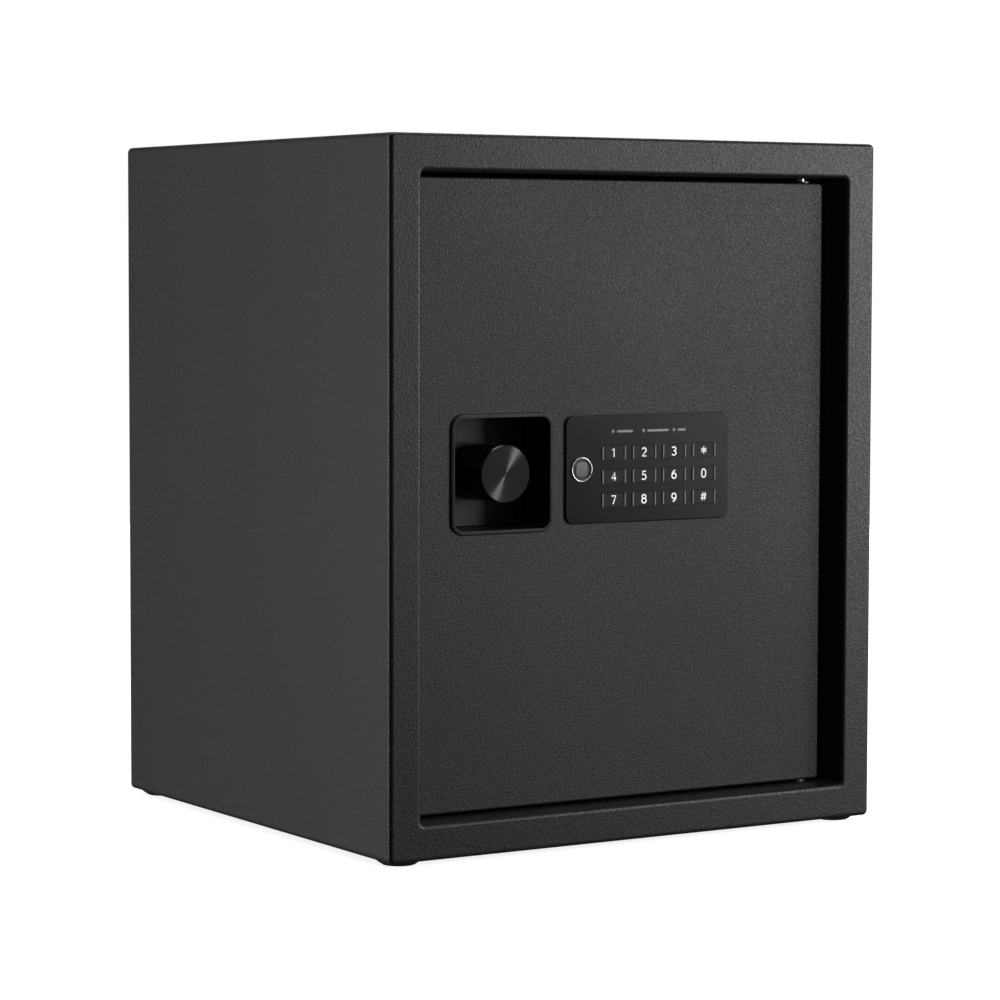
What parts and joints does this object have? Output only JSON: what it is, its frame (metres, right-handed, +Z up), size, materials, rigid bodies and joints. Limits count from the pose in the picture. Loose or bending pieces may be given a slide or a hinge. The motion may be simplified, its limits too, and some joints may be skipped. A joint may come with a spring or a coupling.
{
  "type": "electronic safe",
  "caption": "Upright black steel electronic safe with a recessed right-hinged door, knob-driven locking bolts, keypad with fingerprint reader, inner shelf and anchor holes.",
  "frame": {"origin": "on the floor under the middle of the bounding box", "axes": "+Z up, the door and keypad face -Y, +X to the right seen from the front"},
  "size_m": [0.373, 0.365, 0.453],
  "materials": {
    "powder_coat": "fine-textured black powder coat, satin",
    "felt": "needle felt",
    "rubber": "matt",
    "zinc_steel": "zinc plated, satin",
    "bright_steel": "bright nickel plate",
    "bronze": "sintered, dull",
    "black_plastic": "fine matt",
    "gloss_fascia": "satin gloss",
    "key_plastic": "smooth satin",
    "silicone": "matt silicone",
    "circuit_board": "solder mask",
    "lens": "clear diffusing",
    "chrome_ring": "polished",
    "sensor": "satin",
    "battery_sleeve": "printed sleeve, plain",
    "coil_tape": "wound tape",
    "knob_metal": "black anodised, spun face",
    "red_plastic": "gloss"
  },
  "bodies": {
    "cabinet": {"body_wrap": "powder_coat", "front_frame": "powder_coat", "back_panel": "powder_coat", "floor_mat": "felt", "shelf_brackets": "powder_coat", "rubber_feet": "rubber", "foot_screws": "zinc_steel", "upper_hinge_bracket": "powder_coat", "lower_hinge_bracket": "powder_coat", "upper_hinge_pin": "bright_steel", "lower_hinge_pin": "bright_steel"},
    "door": {"door_panel": "powder_coat", "hinge_blocks": "powder_coat", "upper_hinge_bush": "bronze", "lower_hinge_bush": "bronze", "door_inner_cover": "powder_coat", "inner_cover_screws": "zinc_steel", "knob_cup": "black_plastic", "spindle_bush": "bronze", "bolt_guide_upper": "zinc_steel", "bolt_guide_lower": "zinc_steel", "carriage_guide_studs": "zinc_steel", "solenoid_frame": "zinc_steel", "solenoid_coil": "coil_tape", "keypad_fascia": "gloss_fascia", "keypad_housing": "black_plastic", "key_mat": "silicone", "control_board": "circuit_board", "status_lenses": "lens", "fingerprint_ring": "chrome_ring", "fingerprint_sensor": "sensor", "battery_box": "black_plastic", "battery_cells": "battery_sleeve", "reset_switch": "black_plastic"},
    "turning_knob": {"knob": "knob_metal", "knob_spindle": "bright_steel", "cam_plate": "zinc_steel", "cam_pin": "bright_steel"},
    "bolt_work": {"bolt_carriage": "zinc_steel", "bolt_screws": "zinc_steel", "locking_bolt_upper": "bright_steel", "locking_bolt_lower": "bright_steel"},
    "lock_plunger": {"solenoid_plunger": "bright_steel"},
    "shelf_tray": {"shelf": "powder_coat"},
    "battery_lid": {"battery_cover": "black_plastic"},
    "reset_key": {"reset_button": "red_plastic"},
    "button_1": {"key_1": "key_plastic"},
    "button_2": {"key_2": "key_plastic"},
    "button_3": {"key_3": "key_plastic"},
    "button_star": {"key_star": "key_plastic"},
    "button_4": {"key_4": "key_plastic"},
    "button_5": {"key_5": "key_plastic"},
    "button_6": {"key_6": "key_plastic"},
    "button_0": {"key_0": "key_plastic"},
    "button_7": {"key_7": "key_plastic"},
    "button_8": {"key_8": "key_plastic"},
    "button_9": {"key_9": "key_plastic"},
    "button_hash": {"key_hash": "key_plastic"}
  },
  "joints": [
    {"name": "door_swing", "type": "hinge", "parent": "cabinet", "child": "door", "pos_m": [0.1481, -0.1505, 0.227], "axis": [0, 0, 1], "range_deg": [0, 100]},
    {"name": "knob_turn", "type": "hinge", "parent": "door", "child": "turning_knob", "pos_m": [-0.0912, -0.1325, 0.2408], "axis": [0, 1, 0], "range_deg": [-90, 0]},
    {"name": "bolt_slide", "type": "slide", "parent": "door", "child": "bolt_work", "axis": [1, 0, 0], "range_m": [-0.02, 0]},
    {"name": "plunger_drop", "type": "slide", "parent": "door", "child": "lock_plunger", "axis": [0, 0, -1], "range_m": [0, 0.006]},
    {"name": "shelf_lift", "type": "slide", "parent": "cabinet", "child": "shelf_tray", "axis": [0, 0, 1], "range_m": [0, 0.03]},
    {"name": "battery_cover_pull", "type": "slide", "parent": "door", "child": "battery_lid", "axis": [0, 1, 0], "range_m": [0, 0.03]},
    {"name": "reset_press", "type": "slide", "parent": "door", "child": "reset_key", "axis": [0, -1, 0], "range_m": [0, 0.0015], "stiffness_N_per_m": 400},
    {"name": "key_1_press", "type": "slide", "parent": "door", "child": "button_1", "axis": [0, 1, 0], "range_m": [0, 0.0008], "stiffness_N_per_m": 600},
    {"name": "key_2_press", "type": "slide", "parent": "door", "child": "button_2", "axis": [0, 1, 0], "range_m": [0, 0.0008], "stiffness_N_per_m": 600},
    {"name": "key_3_press", "type": "slide", "parent": "door", "child": "button_3", "axis": [0, 1, 0], "range_m": [0, 0.0008], "stiffness_N_per_m": 600},
    {"name": "key_star_press", "type": "slide", "parent": "door", "child": "button_star", "axis": [0, 1, 0], "range_m": [0, 0.0008], "stiffness_N_per_m": 600},
    {"name": "key_4_press", "type": "slide", "parent": "door", "child": "button_4", "axis": [0, 1, 0], "range_m": [0, 0.0008], "stiffness_N_per_m": 600},
    {"name": "key_5_press", "type": "slide", "parent": "door", "child": "button_5", "axis": [0, 1, 0], "range_m": [0, 0.0008], "stiffness_N_per_m": 600},
    {"name": "key_6_press", "type": "slide", "parent": "door", "child": "button_6", "axis": [0, 1, 0], "range_m": [0, 0.0008], "stiffness_N_per_m": 600},
    {"name": "key_0_press", "type": "slide", "parent": "door", "child": "button_0", "axis": [0, 1, 0], "range_m": [0, 0.0008], "stiffness_N_per_m": 600},
    {"name": "key_7_press", "type": "slide", "parent": "door", "child": "button_7", "axis": [0, 1, 0], "range_m": [0, 0.0008], "stiffness_N_per_m": 600},
    {"name": "key_8_press", "type": "slide", "parent": "door", "child": "button_8", "axis": [0, 1, 0], "range_m": [0, 0.0008], "stiffness_N_per_m": 600},
    {"name": "key_9_press", "type": "slide", "parent": "door", "child": "button_9", "axis": [0, 1, 0], "range_m": [0, 0.0008], "stiffness_N_per_m": 600},
    {"name": "key_hash_press", "type": "slide", "parent": "door", "child": "button_hash", "axis": [0, 1, 0], "range_m": [0, 0.0008], "stiffness_N_per_m": 600}
  ],
  "couplings": [
    {"joint": "bolt_slide", "follows": "knob_turn", "m_per_rad": 0.01273}
  ]
}
